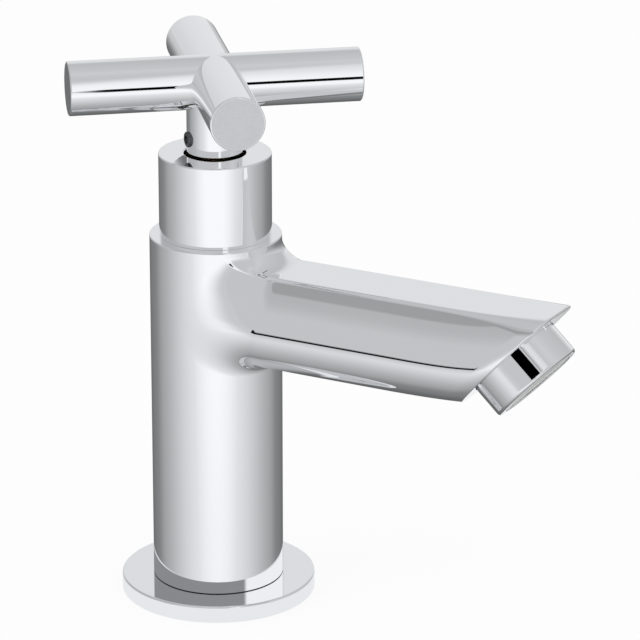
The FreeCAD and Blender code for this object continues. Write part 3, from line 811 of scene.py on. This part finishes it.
def studio_world():
    """Soft white room. Metal sees painted reflections as its walls: bright in front, painted shade behind,
    with a painted dark skirting line.

    A direction's share to the front, to the right side and up (z) sets its tone.
    """
    world = bpy.data.worlds.new("studio")
    bpy.context.scene.world = world
    world.cycles.sampling_method = "NONE"
    tree = Tree(world)
    apart = tree.add("ShaderNodeSeparateXYZ", values={0: tree.add("ShaderNodeTexCoord").outputs["Generated"]})
    x, y, z = (tree.value(apart, axis) for axis in "XYZ")
    front = x * 0.486 - y * 0.874
    side = x * 0.874 + y * 0.486
    path = tree.add("ShaderNodeLightPath")

    # Below the level line, painted reflection: shade at the back and bright in front, with a painted lit
    # patch low behind on the right.
    low = tree.ramp(
        (front + 0.8 * z + 1.3) / 2.3,
        (0.0, 0.12), (0.10, 0.20), (0.20, 0.24), (0.31, 0.37),
        (0.44, 0.46), (0.57, 0.58), (0.76, 0.78), (0.85, 0.99),
    )
    patch = tree.eased(front, -0.74, -0.82) * tree.eased(z, -0.42, -0.45) * tree.eased(z, -0.66, -0.60)
    low = low + (0.92 - low) * patch * tree.eased(side, 0.05, 0.10)

    # A painted bright upright strip right of the middle, between even grey painted walls.
    strip = tree.eased(side, 0.23, 0.28) * tree.eased(side, 0.46, 0.38)
    low = low + (0.60 + 0.32 * strip - low) * tree.eased(z, -0.30, -0.05)

    # Above the level line, painted reflection: bright at the very back and in the strip, grey elsewhere,
    # darker to the left.
    high = tree.ramp(
        (front + 1) / 2,
        (0.0, 0.80), (0.07, 0.71), (0.12, 0.54), (0.15, 0.52),
        (0.5, 0.58), (0.7, 0.67), (0.87, 0.82), (0.96, 0.95),
    )
    high = high * tree.eased(side, -0.9, -0.2, 0.82, 1.0)
    high = high + (0.57 - high) * tree.eased(front, 0.1, 0.5) * (1 - strip)

    # A painted shade, round, high on the left and darker in its middle. It falls on the spout's flank as
    # painted shade in its reflection.
    shade = x * -0.457 - y * 0.60 + z * 0.656
    high = high * (1 - tree.eased(shade, 0.90, 0.985, 0.0, 0.17) - tree.eased(shade, 0.987, 0.9925, 0.0, 0.2))

    # A painted reflection: a narrow band higher up, dark on the left and bright on the right. Only metal seen
    # in metal shows it.
    reflection_in_reflection = tree.value(path, "Glossy Depth").above(1.5)
    right = tree.eased(side * 0.94 - front * 0.342, 0.40, 0.52, 0.27, 0.93)
    high = high + (right - high) * reflection_in_reflection * tree.eased(abs(z - 0.394), 0.015, 0.024, 1.0, 0.0)
    walls = low + (high - low) * tree.eased(z, -0.02, 0.02)

    # The painted dark reflection line: thin where the spout's flank shows it, thick where the handle's bars
    # do.
    on_flank = tree.eased(side, -0.775, -0.79)
    on_bars = tree.eased(side, 0.284, 0.294) * tree.eased(side, 0.375, 0.355)
    half = 0.024 * on_flank + 0.085 * on_bars
    line = (on_flank + on_bars) * tree.eased(front, 0.0, 0.3)
    line = line * tree.eased(abs(z + 0.01) - half, 0.0, 0.02, 1.0, 0.0)

    # The eye and the lamps' bounces see the room as plain white.
    mirrored = tree.value(path, "Is Glossy Ray").most(tree.value(path, "Is Transmission Ray"))
    seen = tree.value(path, "Is Camera Ray")
    tone = mirrored * walls * (1 - line) + (1 - mirrored) * (seen + (1 - seen) * 0.75)
    tint = tree.between(mirrored, (1, 1, 1), (0.975, 0.985, 1))
    lit = tree.add("ShaderNodeVectorMath", {"operation": "SCALE"}, {0: tint, "Scale": tone})
    glow = tree.add("ShaderNodeBackground", values={"Color": lit.outputs[0], "Strength": 1.0})
    tree.add("ShaderNodeOutputWorld", values={"Surface": glow.outputs[0]})


def painted_reflection_card(name, shade, corners):
    """Card near the nozzle that only metal sees, from the side that its corners run round anticlockwise. It
    is a painted dark reflection, hidden from the eye, from diffuse light and from shadows.
    """
    mesh = bpy.data.meshes.new(name)
    mesh.from_pydata([[length / 1000 for length in corner] for corner in corners], [], [range(len(corners))])
    made = bpy.data.objects.new(name, mesh)
    bpy.context.scene.collection.objects.link(made)
    material, tree = new_finish(name)
    glow = tree.add("ShaderNodeEmission", values={"Color": (shade, shade, shade, 1), "Strength": 1.0})
    clear = tree.add("ShaderNodeBsdfTransparent")
    behind = tree.value(tree.add("ShaderNodeNewGeometry"), "Backfacing")
    both = tree.add("ShaderNodeMixShader", values={0: behind, 1: glow.outputs[0], 2: clear.outputs[0]})
    tree.add("ShaderNodeOutputMaterial", values={"Surface": both.outputs[0]})
    mesh.materials.append(material)
    made.visible_camera = made.visible_diffuse = made.visible_shadow = False


def soft_lamp(name, place, size, power):
    """A wide lamp aimed at the tap, too soft to show as a spot in the plate."""
    data = bpy.data.lights.new(name, "AREA")
    data.shape, data.size, data.energy = "SQUARE", size, power
    made = bpy.data.objects.new(name, data)
    back = unit(np.array(place) - np.array((0, 0, 0.08)))
    right = unit(np.cross(UP, back))
    up = np.cross(back, right)
    rows = [[float(right[i]), float(up[i]), float(back[i]), place[i]] for i in range(3)]
    made.matrix_world = Matrix(rows + [[0, 0, 0, 1]])
    made.visible_glossy = False
    made.visible_camera = False
    bpy.context.scene.collection.objects.link(made)


camera()
studio_floor()
studio_world()
soft_lamp("key_lamp", (-0.9, -1.3, 1.5), 1.2, 9.0)
soft_lamp("fill_lamp", (1.3, -0.5, 1.2), 1.4, 5.0)
# Painted dark reflections on the nozzle: sheets that only metal sees.
painted_reflection_card("nozzle_painted_reflection", 0.0, [(94.9, -34.9, 95), (96.2, -17.8, 95), (109.9, -25, 95), (108.1, -52.1, 95)])
painted_reflection_card("thin_painted_reflection", 0.3, [(96.3, -16.2, 95), (96.4, -15.4, 95), (110.1, -21.2, 95), (110.1, -22.4, 95)])

chrome = polished_chrome()
satin = moulded("satin_chrome", (0.60, 0.605, 0.62), (0.66, 0.665, 0.68), 0.24, 900.0, 4e-7, metallic=1.0)
brass = turned_metal("turned_brass", (0.70, 0.52, 0.24), (0.78, 0.61, 0.32), 0.16, 0.00032)
steel = turned_metal("bright_steel", (0.54, 0.55, 0.56), (0.62, 0.63, 0.64), 0.20, 0.00025)
dark_steel = turned_metal("dark_steel", (0.10, 0.10, 0.11), (0.17, 0.17, 0.18), 0.30, 0.00020)
rubber = moulded("black_rubber", (0.018, 0.018, 0.019), (0.04, 0.04, 0.042), 0.55, 2600.0, 1.5e-5)
fibre = moulded("red_fibre", (0.36, 0.07, 0.05), (0.50, 0.14, 0.09), 0.75, 3200.0, 2.5e-5)
acetal = moulded("white_acetal", (0.74, 0.74, 0.72), (0.83, 0.83, 0.81), 0.38, 1500.0, 3e-6)
alumina = moulded("lapped_alumina", (0.84, 0.83, 0.80), (0.91, 0.90, 0.88), 0.16, 5200.0, 4e-7)

# Black rubber on the foot's bevel is painted shade in the gap at the column's foot.
tap_casting(chrome, rubber)
ring_piece("flange_ring", [
    (clear_of_shank_r, 0, 0.1), (groove_r, 0, 0.1), (groove_r, groove_top, 0),
    (groove_outer_r, groove_top, 0), (groove_outer_r, 0, 0.1), (flange_r, 0, 0.5),
    (flange_r, flange_thick, 0.5), (clear_of_shank_r, flange_thick, 0.1),
], chrome, "tap", "chrome", "base_flange")
ring_piece("shroud_cover", [
    (shroud_bore_r, column_top, 0.1), (shroud_r, column_top, 0.12), (shroud_r, shroud_top, 0.35),
    (shroud_hole_r, shroud_top, 0.35), (shroud_hole_r, shroud_roof, 0.1), (shroud_bore_r, shroud_roof, 0.3),
], chrome, "tap", "chrome", "shroud")
ring_piece("aerator_cap", [
    (housing_bore_r, housing_start, 0.15), (housing_r, housing_start, 0.25), (housing_r, housing_end, 0.9),
    (outlet_r, housing_end, 0.2), (outlet_r, lip_start, 0.1), (housing_bore_r, lip_start, 0),
], chrome, "tap", "chrome", "aerator_housing", on_nozzle)
ring_piece("aerator_sleeve", [
    (insert_bore_r, insert_start, 0.1), (insert_neck_r, insert_start, 0.2), (insert_neck_r, insert_step, 0),
    (insert_r, insert_step, 0.1), (insert_r, lip_start, 0.1), (insert_rim_r, lip_start, 0.1),
    (insert_rim_r, insert_end, 0.15), (insert_rim_bore_r, insert_end, 0.15),
    (insert_rim_bore_r, insert_floor, 0), (insert_bore_r, insert_floor, 0.2),
], acetal, "tap", "white_plastic", "aerator_insert", on_nozzle)
below_deck = [
    threaded_tail(brass),
    lock_nut(brass),
    ring_piece("deck_rubber", [
        (clear_of_shank_r, washer_low, 0.2), (19, washer_low, 0.4), (19, deck_low, 0.4),
        (clear_of_shank_r, deck_low, 0.2),
    ], rubber, "tap", "black_rubber", "deck_washer"),
    ring_piece("backing_ring", [
        (clear_of_shank_r, backing_low, 0.15), (17.5, backing_low, 0.25), (17.5, washer_low, 0.25),
        (clear_of_shank_r, washer_low, 0.15),
    ], steel, "tap", "spring_steel", "backing_washer"),
]
for made in below_deck:
    made.visible_glossy = False
cross_bars(chrome, satin)
grub_screw(dark_steel)

KEPT_NODES = {
    rubber: ("deck_gasket", "shank_seal", "seat_seal", "spindle_o_rings", "shroud_o_ring", "aerator_gasket"),
    brass: ("headpart_bonnet", "spindle", "spline_adaptor"),
    fibre: ("bonnet_gasket",),
    steel: ("spindle_circlip", "outlet_screen"),
    acetal: ("slip_washer", "aerator_diffuser"),
    alumina: ("fixed_ceramic_disc", "rotating_ceramic_disc"),
}
for finish, names in KEPT_NODES.items():
    for name in names:
        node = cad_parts[name]
        node.data.materials.clear()
        node.data.materials.append(finish)
